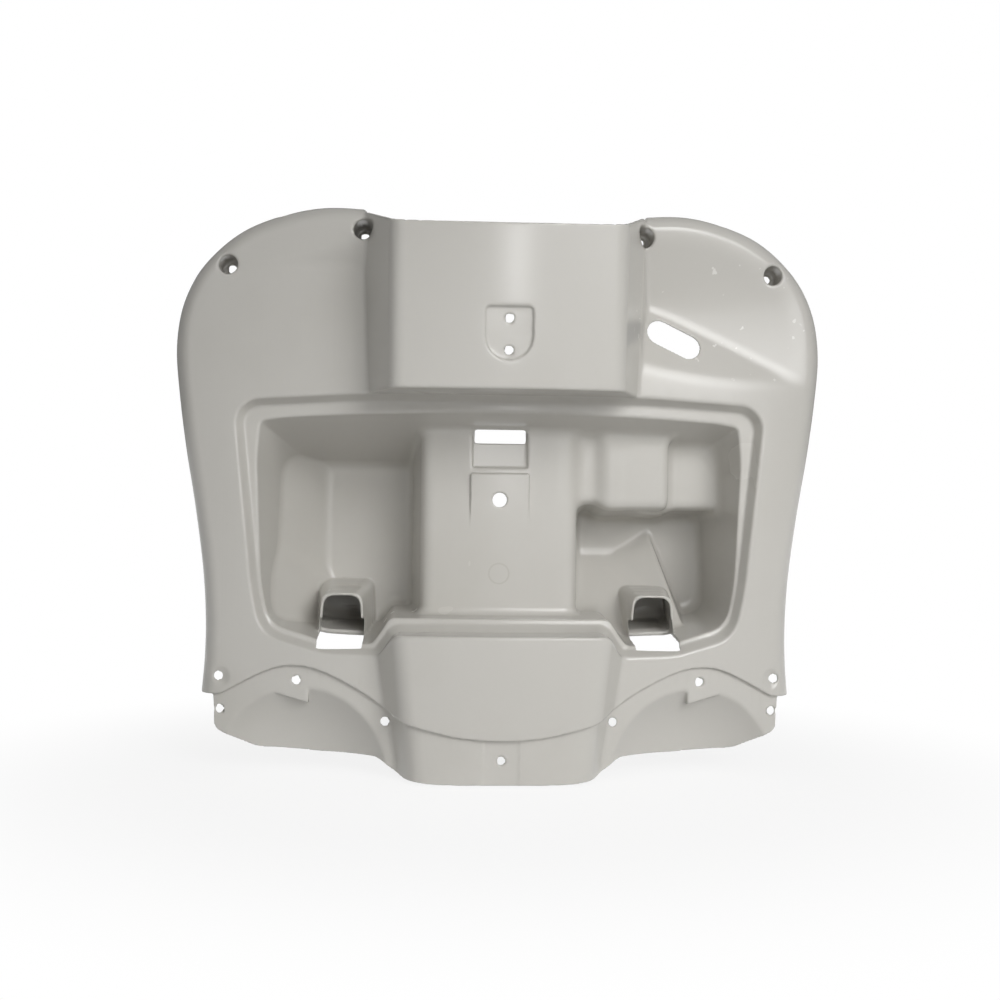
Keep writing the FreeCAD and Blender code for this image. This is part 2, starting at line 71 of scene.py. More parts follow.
# The shape is worked out as a field of distances to the rider's side of the moulding, in millimetres.
# It is negative in the plastic. X runs to the rider's right, Z up, and depth away from the rider,
# measured from the crown of the panel. The bolt pad's face, where the frame has its origin, is this deep.
PAD_DEPTH = 36.0

# Distance well outside the part
FAR = 320.0

# Panel, rim and flange
PANEL_RADIUS = 950.0
RIM_DEPTH = 14.0
RIM_HALF = [(40, 205.5), (81, 206.5), (115, 210.5), (138, 210.5), (161.5, 206), (188, 196.5), (209, 182),
            (226, 163), (237, 139), (241, 110), (238.5, 77), (233, 37), (225.5, -6), (219, -52), (216.5, -88),
            (216.8, -117), (219, -144.5)]
RIM_TOP = 205.3
ARCH_HALF = [(203, -143.5), (172, -127), (152, -121.7), (130, -125), (101, -139), (79, -153.5), (58, -161),
             (29, -167.5)]
ARCH_MIDDLE = -169.5
JOGGLE = 4.0
FLANGE_HALF = [(210, -116, 0), (208, -169, 8), (178, -184.5, 25), (131, -188, 60), (88, -188, 14),
               (70, -200, 9), (40, -202, 0)]
FLANGE_LAP = 4.0

# Covers of the steering column: half widths at the panel and at the front, depth of the front,
# how far it bows out, the height those hold at, lean and taper
UPPER_COVER = (98.0, 79.5, -58.0, 5.9, 130.0, -0.116, 0.0)
LOWER_COVER = (84.0, 70.5, -27.0, 4.4, -136.0, -0.10, 0.095)
UPPER_BOTTOM = 60.0
LOWER_TOP = -80.0
UPPER_TOP = 205.0
UPPER_TOP_FALL = 0.27
INNER_HALF = 58.0
INNER_SPREAD = 0.107
INNER_FRONT = 40.5
INNER_BOW = 2.1

# Rebate for the lid, and the tub behind it, whose draft runs on a little past its back
REBATE_HALF = [(106, 75.5, 60), (196, 71, 18), (181.5, -66, 160), (174, -100, 26), (129, -112.5, 60),
               (88, -113.5, 9), (76, -95.5, 9)]
LEDGE_DEPTH = 10.0
REBATE_DRAFT = 0.5
MOUTH_HALF = [(187.5, 65.5, 13), (177, -66, 150), (168, -94, 20), (129, -106, 60), (93, -107.5, 7),
              (80, -87, 7)]
BACK_HALF = [(160, 27, 10), (167, -60, 150), (167, -86, 12), (128, -95, 60), (90, -97, 5), (80, -84, 5)]
MOUTH_DEPTH = 4.0
TUB_DEPTH = 115.0
TUB_REACH = 1.1

# Bulges in the right compartment: inner side, outer side, bottom, front depth.
# They grow towards the back, less so at the outer side
BULGE_SPREAD = 0.1
BULGE_SIDE_SHARE = 0.3
BULGES = [(50.0, 90.0, -2.0, 51.0), (78.0, 129.0, -6.0, 46.0), (112.0, 169.5, -6.0, 66.0)]

# Ramp on the right compartment's floor: two sides, height at the back, run along the floor
RAMP_FLOOR = -112.0
RIGHT_RAMP = (60.0, 128.0, -46.0, 62.0)

# Flat facets in the lower corners of the compartments, each through three points (X, depth, Z)
LEFT_SLOPE = [(-160.0, 97.0, -37.5), (-125.0, 115.0, -70.0), (-170.0, 50.0, -85.0)]
LEFT_FACET = [(-157.0, 95.0, 0.0), (-133.0, 115.0, 0.0), (-157.0, 95.0, -10.0)]
LEFT_FACET_TOP = 40.0
RIGHT_SLOPE = [(99.0, 115.0, -42.0), (124.0, 115.0, -25.0), (137.0, 85.0, -70.0)]
RIGHT_SLOPE_END = [(124.0, 115.0, -25.0), (137.0, 85.0, -70.0), (128.0, 135.0, -25.0)]
CORNER_OUTER = 185.0
CORNER_FRONT = 40.0
CORNER_FLOOR = -112.0

# Arched collars on the compartment floors, how far they and their tunnels run into what is next to them,
# and the floor holes in front of them
COLLAR_SIDES = (98.5, 135.5)
COLLAR_LEAN = 0.065
COLLAR_TOP = -71.0
COLLAR_WALL = 2.0
COLLAR_FRONT = 45.0
COLLAR_SPREAD = 0.1
COLLAR_FOOT = -125.0
COLLAR_LAP = 1.2
TUNNEL_FLOOR = 2.4
TUNNEL_LAP = 1.0
FLOOR_HOLE_DEPTHS = (15.0, 60.0)
FLOOR_HOLE_HEIGHTS = (-125.0, -90.0)

# Key switch recess and hole on the right wing, and the raised shoulder on the left one
RECESS_RING = [(99.5, 194), (150, 193.5), (187, 180), (216, 159), (226, 135), (224, 90), (99.5, 99)]
RECESS_DEEPEST = (105.0, 28.0, 147.0)
RECESS_FRONT = (150.0, -60.0, 140.0)
SWITCH_AT = (126.5, 120.0)
SWITCH_SIZE = (42.0, 18.0)
SWITCH_TURN = 26.0
SWITCH_FRONT = -5.0
SHOULDER_END = (-186.0, 168.0)
SHOULDER_SIDE = -98.0
SHOULDER_FOOT = 164.0
SHOULDER_CREST = 184.0
SHOULDER_HEIGHT = 9.0
SHOULDER_TOP = 204.0
SHOULDER_SINK = 0.6
SHOULDER_INNER = -60.0
SHOULDER_BEHIND = (-140.0, 60.0, 186.0)

# Toe bowls, each the hollow of a ball with a tab hanging over it, hook recess, pad, slot and channel
BOWL_AT = (154.4, -54.0, -203.6)
BOWL_RADIUS = 96.0
TAB = [(138.5, -149), (164, -142), (164, -110), (138.5, -110)]
HOOK_HALF = 16.2
HOOK_TOP = 131.0
HOOK_BOTTOM = 95.0
HOOK_DEPTH = 2.5
HOOK_CORNER = 3.0
HOOK_ROUND = HOOK_HALF - 0.1
PAD_HALF = 22.0
PAD_HEIGHTS = (-26.0, 20.0)
PAD_LEAN = 0.09
PAD_ROOT = 1.5
SLOT_HALF = 19.0
SLOT_HEIGHTS = (42.5, 52.5)
SLOT_DEPTHS = (20.0, 60.5)
CHANNEL_HALF = 20.5
CHANNEL_HEIGHTS = (24.0, 53.5)
CHANNEL_FLOOR = 41.5

# Screw holes in mirrored pairs (X, Z), some in wells and one pair in dimples, the strip down the lower flange,
# and holes in the middle (X, Z, radius)
SCREW_RADIUS = 2.6
WELL_RADIUS = 7.0
WELL_DEPTH = 24.0
COUNTERSINK = 2.0
WELLS = [(102, 192.5), (201, 169.5)]
DIMPLE_AT = (205, -130.5)
DIMPLE_RADIUS = 12.0
DIMPLE_DEPTH = 2.0
PAIRED_HOLES = [DIMPLE_AT, (204, -155), (148, -132.5), (82.5, -161)] + WELLS
STRIP_HALF = 12.5
STRIP_DEPTH = 1.0
MIDDLE_HOLES = [(0, 0, 5.5), (0, -184, SCREW_RADIUS), (0, 123, SCREW_RADIUS), (0, 101.5, SCREW_RADIUS)]

# Space that the wall may fill behind the panel: margin around the box and the wells, the key switch recess,
# and the toe bowls by their middle, half width and top
SPACE_MARGIN = 3.5
WING_SPACE = [(90, 80), (212, 78), (218, 130), (210, 155), (178, 183), (90, 201)]
TOE_MIDDLE = 141.0
TOE_HALF = 60.0
TOE_TOP = -118.0

# Soft edges of the moulding
RIM_CHAMFER = 8.0
RIM_ROUND = 4.0
COVER_EDGE = 8.0
COVER_FOOT = 3.0
INNER_EDGE = 10.0
INNER_FOOT = 6.0
BULGE_EDGE = 8.0
BULGE_FOOT = 9.0
RAMP_EDGE = 6.0
RAMP_FOOT = 7.0
COLLAR_EDGE = 8.0
COLLAR_SEAM = 2.0
SHOULDER_ROUND = 1.6
BOWL_EDGE = 1.5
TOP_EDGE = 1.5
SEAM_ROUND = 1.0
LEDGE_ROUND = 1.6
CREASE_ROUND = 3.0
FLOOR_ROUND = 9.0
WELL_ROUND = 2.0
PAD_ROUND = 1.2
FLOOR_HOLE_ROUND = 1.0
CUT_ROUND = 0.8
HOLE_ROUND = 0.5
STRIP_ROUND = 0.4

# Drawing of the surface: straight pieces in an arc and between two points of a curve, grid steps left around
# the part, and how far the mesh's own slope has to agree with the field's before the field's is used
ARC_STEPS = 8
CURVE_STEPS = 6
GRID_MARGIN = 2.3
AGREED_FROM = 0.75
AGREED_OVER = 0.2

# Marks on the plastic, in metres in the frame: ring on the inner cover, scuffs on the right wing.
# Pairs are the distances or noise values between which a mark fades
RING_AT = (0.0, 0.003, -0.055)
RING_RADIUS = 0.0075
RING_LINE = (0.0003, 0.0009)
RING_NEAR = (0.012, 0.02)
SCUFF_AT = (0.175, -0.02, 0.135)
SCUFF_SQUASH = (0.55, 0.3, 1.0)
SCUFF_NEAR = (0.03, 0.06)
SPECK_SCALE = 150.0
SPECK_RANGE = (0.69, 0.74)

# Finish of the plastic: clouds where it has dulled, fine grain and unevenness,
# and how much each one shows in the colour and in the roughness
CLOUD_SCALE = 9.0
CLOUD_RANGE = (0.45, 0.75)
GRAIN_SCALE = 420.0
UNEVEN_SCALE = 260.0
UNEVEN_STRENGTH = 0.05
UNEVEN_DEPTH = 0.0004
CLOUD_TINT = 0.5
GRAIN_TINT = 0.05
RING_TINT = 0.9
SCUFF_TINT = 0.6
CLOUD_ROUGHNESS = 0.08
SCUFF_ROUGHNESS = 0.2

# Studio, in metres: floor, its shade near the part and the distances between which that fades,
# lamps (width, height, place, target, spread in degrees) and camera
FLOOR_HALF = 6.0
FLOOR_GAP = 0.0005
FLOOR_SHADE = 0.15
FLOOR_FADE = (0.2, 0.5)
KEY_LAMP = (0.8, 0.8, (0.5, -1.05, 0.42), (0.05, 0.0, -0.03), 56.0)
FILL_LAMP = (1.2, 1.2, (-0.9, -1.3, 0.6), (0.0, 0.0, 0.0), 180.0)
STRIP_LAMP = (0.05, 0.2, (0.08, -1.06, 0.13), (0.02, 0.0, 0.05), 180.0)
CAMERA_AT = (-0.055, -1.036, 0.0)
CAMERA_TARGET = (-0.0018, -0.036, 0.0)
CAMERA_ROLL = 0.7
CAMERA_LENS = 50.07
CAMERA_SENSOR = 36.0
WHITE = (1.0, 1.0, 1.0, 1.0)


class ShieldSettings(bpy.types.PropertyGroup):
    """Sizes and finish of the moulding."""
    wall: bpy.props.FloatProperty(
        name="Wall", description="Thickness of the moulding", default=0.0025, unit="LENGTH")
    pitch: bpy.props.FloatProperty(
        name="Pitch", description="Spacing of the grid that the surface is drawn from", default=0.00125,
        unit="LENGTH")
    faces: bpy.props.IntProperty(
        name="Faces", description="Triangles left on the moulding", default=190000)
    plastic: bpy.props.FloatVectorProperty(
        name="Plastic", description="Colour of the plastic", default=(0.56, 0.545, 0.51), subtype="COLOR")
    aged: bpy.props.FloatVectorProperty(
        name="Aged plastic", description="Colour where the plastic has dulled", default=(0.50, 0.485, 0.445),
        subtype="COLOR")
    scuff: bpy.props.FloatVectorProperty(
        name="Scuffs", description="Colour of the small scuffs", default=(0.8, 0.79, 0.76), subtype="COLOR")
    gloss: bpy.props.FloatProperty(
        name="Roughness", description="Roughness of the clean plastic", default=0.2, subtype="FACTOR")


class StudioSettings(bpy.types.PropertyGroup):
    """Floor, lamps and even light."""
    floor: bpy.props.FloatVectorProperty(
        name="Floor", description="Colour of the floor", default=(0.9, 0.9, 0.9), subtype="COLOR")
    key: bpy.props.FloatProperty(
        name="Key lamp", description="Power of the large lamp at the upper right", default=1.6, unit="POWER")
    fill: bpy.props.FloatProperty(
        name="Fill lamp", description="Power of the soft lamp at the left", default=2.0, unit="POWER")
    strip: bpy.props.FloatProperty(
        name="Strip lamp", description="Power of the narrow upright lamp beside the camera", default=0.5,
        unit="POWER")
    ambient: bpy.props.FloatProperty(
        name="Ambient", description="Strength of the even light all round", default=0.24)


def soft_min(first, second, reach):
    """Lesser of two distances, with the corner between them rounded over a reach."""
    overlap = np.maximum(reach - np.abs(first - second), 0.0)
    return np.minimum(first, second) - overlap * overlap / (4.0 * reach)


def soft_max(first, second, reach):
    """Greater of two distances, with the corner between them rounded over a reach."""
    return -soft_min(-first, -second, reach)


def all_of(distances, reach):
    """Distance to the space that several shapes share."""
    result = distances[0]
    for distance in distances[1:]:
        result = soft_max(result, distance, reach)
    return result


def mirrored(half):
    """Whole outline from its right half, which starts at the top."""
    return half + [(-corner[0],) + tuple(corner[1:]) for corner in reversed(half)]


def rounded(corners):
    """Points along an outline with an arc at each corner that has a radius."""
    points = []
    for index, (x, z, radius) in enumerate(corners):
        here = Vector((x, z))
        to_last = (Vector(corners[index - 1][:2]) - here).normalized()
        to_next = (Vector(corners[(index + 1) % len(corners)][:2]) - here).normalized()
        half_angle = 0.5 * to_last.angle(to_next)
        if not radius:
            points.append((x, z))
            continue
        centre = here + (to_last + to_next).normalized() * (radius / math.sin(half_angle))
        enter = here + to_last * (radius / math.tan(half_angle)) - centre
        leave = here + to_next * (radius / math.tan(half_angle)) - centre
        for step in range(ARC_STEPS + 1):
            spoke = enter.slerp(leave, step / ARC_STEPS)
            points.append(tuple(centre + spoke.normalized() * radius))
    return points


def smooth_curve(points):
    """Points along a smooth curve through given points."""
    ends = [points[0]] + points + [points[-1]]
    curve = []
    for a, b, c, d in zip(ends, ends[1:], ends[2:], ends[3:]):
        for step in range(CURVE_STEPS):
            t = step / CURVE_STEPS
            weights = (-t + 2 * t ** 2 - t ** 3, 2 - 5 * t ** 2 + 3 * t ** 3, t + 4 * t ** 2 - 3 * t ** 3,
                       -t ** 2 + t ** 3)
            curve.append(tuple(0.5 * sum(w * at[axis] for w, at in zip(weights, (a, b, c, d)))
                               for axis in (0, 1)))
    return curve + [points[-1]]


def outline(points, x, z):
    """Distance to a closed outline in the X Z plane, negative inside."""
    shape = np.broadcast_shapes(x.shape, z.shape)
    nearest = np.full(shape, np.inf, np.float32)
    inside = np.zeros(shape, bool)
    for (ax, az), (bx, bz) in zip(points, points[1:] + points[:1]):
        run = bx - ax
        rise = bz - az
        along = np.clip(((x - ax) * run + (z - az) * rise) / (run * run + rise * rise + 1e-9), 0.0, 1.0)
        nearest = np.minimum(nearest, (x - ax - along * run) ** 2 + (z - az - along * rise) ** 2)
        if rise:
            inside ^= ((az > z) != (bz > z)) & (x < ax + run * (z - az) / rise)
    return np.where(inside, -1.0, 1.0).astype(np.float32) * np.sqrt(nearest)


def plane(a, b, c, behind, x, d, z):
    """Distance to the plane through three points, negative on the side of a fourth."""
    a = Vector(a)
    normal = (Vector(b) - a).cross(Vector(c) - a).normalized()
    if normal.dot(Vector(behind) - a) > 0:
        normal = -normal
    return normal.x * (x - a.x) + normal.y * (d - a.y) + normal.z * (z - a.z)


def panel_depth(x):
    """Depth of the curved panel at a distance x from the middle."""
    return PANEL_RADIUS - math.sqrt(PANEL_RADIUS ** 2 - x ** 2)


def panel(x, d):
    return np.hypot(x, d - PANEL_RADIUS) - PANEL_RADIUS


def cover(sizes, x, d, z):
    """Drafted cover of the steering column with a bowed front."""
    base_half, front_half, front, bow, middle, lean, taper = sizes
    half = front_half - taper * (middle - z)
    face = front + lean * (z - middle)
    slope = (base_half - front_half) / -front
    side = (np.abs(x) - half - (d - face) * slope) / math.hypot(1.0, slope)
    bowed = face - bow * (1.0 - (x / half) ** 2) - d
    return soft_max(side, bowed, COVER_EDGE)


def rim_outline(x, z):
    """Outline of the panel, run on straight down below its lower corners."""
    points = smooth_curve([(-px, pz) for px, pz in reversed(RIM_HALF)] + [(0.0, RIM_TOP)] + RIM_HALF)
    return outline(points + [(points[-1][0], -FAR), (points[0][0], -FAR)], x, z)


def arch_outline(x, z):
    """Everything above the lower edge of the panel."""
    half = [(-px, pz) for px, pz in ARCH_HALF]
    points = smooth_curve(half + [(0.0, ARCH_MIDDLE)] + list(reversed(ARCH_HALF)))
    side, low = RIM_HALF[-1]
    ends = [(side, low), (FAR, low), (FAR, FAR), (-FAR, FAR), (-FAR, low), (-side, low)]
    return outline(points + ends, x, z)


def flange_outline(x, z):
    return outline(rounded(mirrored(FLANGE_HALF)), x, z)


def rolled(face, rim):
    """A face with its rim turned back over a chamfer."""
    chamfer = (face + rim + RIM_CHAMFER) / math.sqrt(2.0)
    return soft_max(soft_max(face, chamfer, CREASE_ROUND), rim, RIM_ROUND)


def shoulder(x, d, z):
    """Raised shoulder along the top of the left wing, growing from nothing towards the cover."""
    surface = panel_depth(SHOULDER_SIDE) + SHOULDER_SINK
    end = (SHOULDER_END[0], panel_depth(SHOULDER_END[0]) + SHOULDER_SINK, SHOULDER_END[1])
    foot = (SHOULDER_SIDE, surface, SHOULDER_FOOT)
    crest = (SHOULDER_SIDE, surface - SHOULDER_HEIGHT, SHOULDER_CREST)
    top = (SHOULDER_SIDE, surface - SHOULDER_HEIGHT, SHOULDER_TOP)
    slope = plane(end, foot, crest, SHOULDER_BEHIND, x, d, z)
    face = plane(end, crest, top, SHOULDER_BEHIND, x, d, z)
    raised = all_of([slope, face, x - SHOULDER_INNER], SHOULDER_ROUND)
    return rolled(raised, rim_outline(x, z))


def switch_recess(x, d, z):
    """Hollow of flat facets that fall to one deepest point beside the cover."""
    ring = [(px, panel_depth(px), pz) for px, pz in RECESS_RING]
    facets = []
    for start, end in zip(ring, ring[1:] + ring[:1]):
        facets.append(plane(RECESS_DEEPEST, start, end, RECESS_FRONT, x, d, z))
    return all_of(facets, CREASE_ROUND)


def bowl(side, x, d, z):
    """Round hollow for the toes, less the tab with a screw hole that hangs over it."""
    gap = (side * x - BOWL_AT[0]) ** 2 + (d - BOWL_AT[1]) ** 2 + (z - BOWL_AT[2]) ** 2
    hollow = soft_max(np.sqrt(gap) - BOWL_RADIUS, panel(x, d), CUT_ROUND)
    return soft_max(hollow, -outline(TAB, side * x, z), CUT_ROUND)


def dimple(side, x, d, z):
    """Shallow round hollow around a screw hole at a lower corner."""
    centre = panel_depth(DIMPLE_AT[0]) + DIMPLE_DEPTH - DIMPLE_RADIUS
    gap = (side * x - DIMPLE_AT[0]) ** 2 + (d - centre) ** 2 + (z - DIMPLE_AT[1]) ** 2
    return np.sqrt(gap) - DIMPLE_RADIUS


def well(at, x, d, z):
    floor = panel_depth(at[0]) + WELL_DEPTH
    return soft_max(np.hypot(x - at[0], z - at[1]) - WELL_RADIUS, d - floor, WELL_ROUND)


def hook_recess(x, d, z):
    """Shallow recess with a flat top and a round bottom on the upper cover."""
    corners = mirrored([(HOOK_HALF, HOOK_TOP, HOOK_CORNER), (HOOK_HALF, HOOK_BOTTOM, HOOK_ROUND)])
    front, bow, middle, lean = UPPER_COVER[2:6]
    floor = front - bow + lean * (z - middle) + HOOK_DEPTH
    return soft_max(outline(rounded(corners), x, z), d - floor, CUT_ROUND)


def strip(x, d, z):
    """Shallow strip for the floor panel, down the middle of the lower flange."""
    front, bow, middle, lean = LOWER_COVER[2:6]
    floor = front - bow + lean * (z - middle) + JOGGLE + STRIP_DEPTH
    return all_of([np.abs(x) - STRIP_HALF, d - floor, z - ARCH_MIDDLE + STRIP_DEPTH], STRIP_ROUND)


def rebate(x, d, z):
    """Step in the panel that the lid sits in, with drafted sides."""
    behind = -panel(x, d)
    side = outline(rounded(mirrored(REBATE_HALF)), x, z) + REBATE_DRAFT * np.clip(behind, 0.0, LEDGE_DEPTH)
    return soft_max(side / math.hypot(1.0, REBATE_DRAFT), behind - LEDGE_DEPTH, LEDGE_ROUND)


def tub(x, d, z):
    """Hollow of the box, drafted from its mouth to its back wall."""
    mouth = outline(rounded(mirrored(MOUTH_HALF)), x, z)
    back = outline(rounded(mirrored(BACK_HALF)), x, z)
    share = np.clip((d - MOUTH_DEPTH) / (TUB_DEPTH - MOUTH_DEPTH), 0.0, TUB_REACH)
    return soft_max(mouth + (back - mouth) * share, d - TUB_DEPTH, FLOOR_ROUND)


def inner_cover(x, d, z):
    """Column cover inside the box, with the channel that leads up to the latch slot."""
    side = np.abs(x) - INNER_HALF - (d - INNER_FRONT) * INNER_SPREAD
    front = INNER_FRONT - INNER_BOW * (1.0 - (x / INNER_HALF) ** 2) - d
    form = soft_max(side, front, INNER_EDGE)
    low, high = CHANNEL_HEIGHTS
    channel = all_of([np.abs(x) - CHANNEL_HALF, d - CHANNEL_FLOOR, low - z, z - high], CUT_ROUND)
    return soft_max(form, -channel, CUT_ROUND)


def bulge(sizes, x, d, z):
    """Rounded block that stands into the right compartment."""
    side_in, side_out, bottom, front = sizes
    spread = BULGE_SPREAD * (d - front)
    outer = x - side_out - BULGE_SIDE_SHARE * spread
    return all_of([front - d, bottom - spread - z, outer, side_in - x], BULGE_EDGE)


def ramp(sizes, x, d, z):
    """Sloping floor at the back of a compartment."""
    side_a, side_b, height, run = sizes
    slope = (height - RAMP_FLOOR) / run
    face = (z - RAMP_FLOOR - slope * (d - TUB_DEPTH + run)) / math.hypot(1.0, slope)
    return all_of([face, x - side_b, side_a - x, TUB_DEPTH - run - d], RAMP_EDGE)


def left_corner(x, d, z):
    """Upright facet and sloping facet in the lower outer corner of the left compartment."""
    behind = (-CORNER_OUTER, TUB_DEPTH, CORNER_FLOOR)
    limits = [CORNER_FRONT - d, -CORNER_OUTER - x, CORNER_FLOOR - z, z - LEFT_FACET_TOP]
    upright = all_of([plane(*LEFT_FACET, behind, x, d, z)] + limits, CREASE_ROUND)
    sloping = all_of([plane(*LEFT_SLOPE, behind, x, d, z)] + limits, CREASE_ROUND)
    return soft_min(upright, sloping, CREASE_ROUND)


def right_corner(x, d, z):
    """Sloping facet that rises from the ramp to a peak at the back of the right compartment."""
    behind = (RIGHT_RAMP[0], 2.0 * TUB_DEPTH, CORNER_FLOOR)
    facets = [plane(*RIGHT_SLOPE, behind, x, d, z), plane(*RIGHT_SLOPE_END, behind, x, d, z)]
    return all_of(facets + [CORNER_FRONT - d, x - CORNER_OUTER, CORNER_FLOOR - z], CREASE_ROUND)


def panel_body(x, d, z):
    """Panel with its rim turned back."""
    return rolled(panel(x, d), rim_outline(x, z))


def front_form(x, d, z):
    """Everything behind the rider's side of the moulding."""
    lower = soft_max(cover(LOWER_COVER, x, d, z), z - LOWER_TOP, SEAM_ROUND)
    form = soft_min(panel_body(x, d, z), lower, COVER_FOOT)
    form = soft_max(form, arch_outline(x, z), SEAM_ROUND)
    flange = soft_min(panel(x, d), lower, COVER_FOOT) + JOGGLE
    flange = soft_max(flange, flange_outline(x, z) - FLANGE_LAP, SEAM_ROUND)
    form = soft_min(form, flange, SEAM_ROUND)
    form = soft_min(form, shoulder(x, d, z), SHOULDER_ROUND)
    form = soft_max(form, -switch_recess(x, d, z), CREASE_ROUND)
    upper = soft_max(cover(UPPER_COVER, x, d, z), UPPER_BOTTOM - z, SEAM_ROUND)
    form = soft_min(form, upper, COVER_FOOT)
    form = soft_max(form, -rebate(x, d, z), LEDGE_ROUND)
    form = soft_max(form, -tub(x, d, z), LEDGE_ROUND)
    for side in (-1, 1):
        form = soft_max(form, -bowl(side, x, d, z), BOWL_EDGE)
        form = soft_max(form, -dimple(side, x, d, z), SEAM_ROUND)
        for at in WELLS:
            form = soft_max(form, -well((side * at[0], at[1]), x, d, z), WELL_ROUND)
    form = soft_max(form, -hook_recess(x, d, z), CUT_ROUND)
    form = soft_max(form, -strip(x, d, z), STRIP_ROUND)
    form = soft_min(form, inner_cover(x, d, z), INNER_FOOT)
    form = soft_min(form, ramp(RIGHT_RAMP, x, d, z), RAMP_FOOT)
    form = soft_min(form, right_corner(x, d, z), CREASE_ROUND)
    form = soft_min(form, left_corner(x, d, z), CREASE_ROUND)
    for sizes in BULGES:
        form = soft_min(form, bulge(sizes, x, d, z), BULGE_FOOT)
    return form


def kept_space(x, d, z):
    """Space that the moulding may fill: a layer behind the panel, all of it behind the hollows,
    and nothing past the cut edges of the flange and of the upper cover's top."""
    layer = -panel(x, d) - RIM_DEPTH
    box = outline(rounded(mirrored(REBATE_HALF)), x, z) - SPACE_MARGIN
    wing = outline(WING_SPACE, x, z)
    space = np.minimum(np.minimum(layer, box), wing)
    toes = np.maximum(np.abs(np.abs(x) - TOE_MIDDLE) - TOE_HALF, z - TOE_TOP)
    space = np.minimum(space, toes)
    for px, pz in WELLS:
        space = np.minimum(space, np.hypot(np.abs(x) - px, z - pz) - WELL_RADIUS - SPACE_MARGIN)
    edge = np.minimum(arch_outline(x, z), flange_outline(x, z))
    top = (z - UPPER_TOP - UPPER_TOP_FALL * np.minimum(d, 0.0)) / math.hypot(1.0, UPPER_TOP_FALL)
    top = np.minimum(top, np.minimum(panel_body(x, d, z), shoulder(x, d, z)))
    return soft_max(np.maximum(space, edge), top, TOP_EDGE)


def collar(side, x, d, z):
    """Arched block that stands on a compartment floor."""
    spread = COLLAR_SPREAD * (d - COLLAR_FRONT)
    lean = COLLAR_LEAN * (z - COLLAR_FOOT)
    inner = COLLAR_SIDES[0] - spread + lean - side * x
    outer = side * x - COLLAR_SIDES[1] - spread + lean
    return all_of([inner, outer, z - COLLAR_TOP - spread], COLLAR_EDGE)


def pad(x, d, z):
    """Flat pad around the bolt hole."""
    low, high = PAD_HEIGHTS
    face = PAD_DEPTH - PAD_LEAN * z - d
    return all_of([np.abs(x) - PAD_HALF, face, low - z, z - high, d - INNER_FRONT - PAD_ROOT], PAD_ROUND)


def oblong(x, z):
    """Round-ended hole for the key switch."""
    turn = math.radians(SWITCH_TURN)
    along = (x - SWITCH_AT[0]) * math.cos(turn) - (z - SWITCH_AT[1]) * math.sin(turn)
    across = (x - SWITCH_AT[0]) * math.sin(turn) + (z - SWITCH_AT[1]) * math.cos(turn)
    straight = 0.5 * (SWITCH_SIZE[0] - SWITCH_SIZE[1])
    return np.hypot(np.maximum(np.abs(along) - straight, 0.0), across) - 0.5 * SWITCH_SIZE[1]


def add_collars(shell, x, d, z):
    """Collars with their tunnels, and the floor holes in front of them."""
    inside_tub = tub(x, d, z) - COLLAR_LAP
    middle = 0.5 * (COLLAR_SIDES[0] + COLLAR_SIDES[1])
    half = 0.5 * (COLLAR_SIDES[1] - COLLAR_SIDES[0]) - COLLAR_WALL
    front, back = FLOOR_HOLE_DEPTHS
    bottom, top = FLOOR_HOLE_HEIGHTS
    for side in (-1, 1):
        form = collar(side, x, d, z)
        block = np.maximum(np.maximum(form, COLLAR_FRONT - d), inside_tub)
        shell = soft_min(shell, block, COLLAR_SEAM)
        tunnel = all_of([form + COLLAR_WALL, COLLAR_FRONT - TUNNEL_LAP - d, inside_tub + TUNNEL_FLOOR],
                        HOLE_ROUND)
        shell = soft_max(shell, -tunnel, CUT_ROUND)
        near = np.abs(side * x - middle) - half
        hole = all_of([near, front - d, d - back, z - top, bottom - z], FLOOR_HOLE_ROUND)
        shell = soft_max(shell, -hole, CUT_ROUND)
    return shell


def cut_holes(shell, form, x, d, z):
    """Slot, switch hole, bolt hole and screw holes, the last with a countersink."""
    low, high = SLOT_HEIGHTS
    front, back = SLOT_DEPTHS
    slot = all_of([np.abs(x) - SLOT_HALF, low - z, z - high, front - d, d - back], CUT_ROUND)
    shell = soft_max(shell, -slot, CUT_ROUND)
    shell = soft_max(shell, -np.maximum(oblong(x, z), SWITCH_FRONT - d), CUT_ROUND)
    holes = MIDDLE_HOLES + [(px, pz, SCREW_RADIUS) for px, pz in PAIRED_HOLES]
    holes += [(-px, pz, SCREW_RADIUS) for px, pz in PAIRED_HOLES]
    for px, pz, radius in holes:
        wider = np.clip(form + COUNTERSINK, 0.0, COUNTERSINK) if radius == SCREW_RADIUS else 0.0
        shell = soft_max(shell, radius + wider - np.hypot(x - px, z - pz), HOLE_ROUND)
    return shell


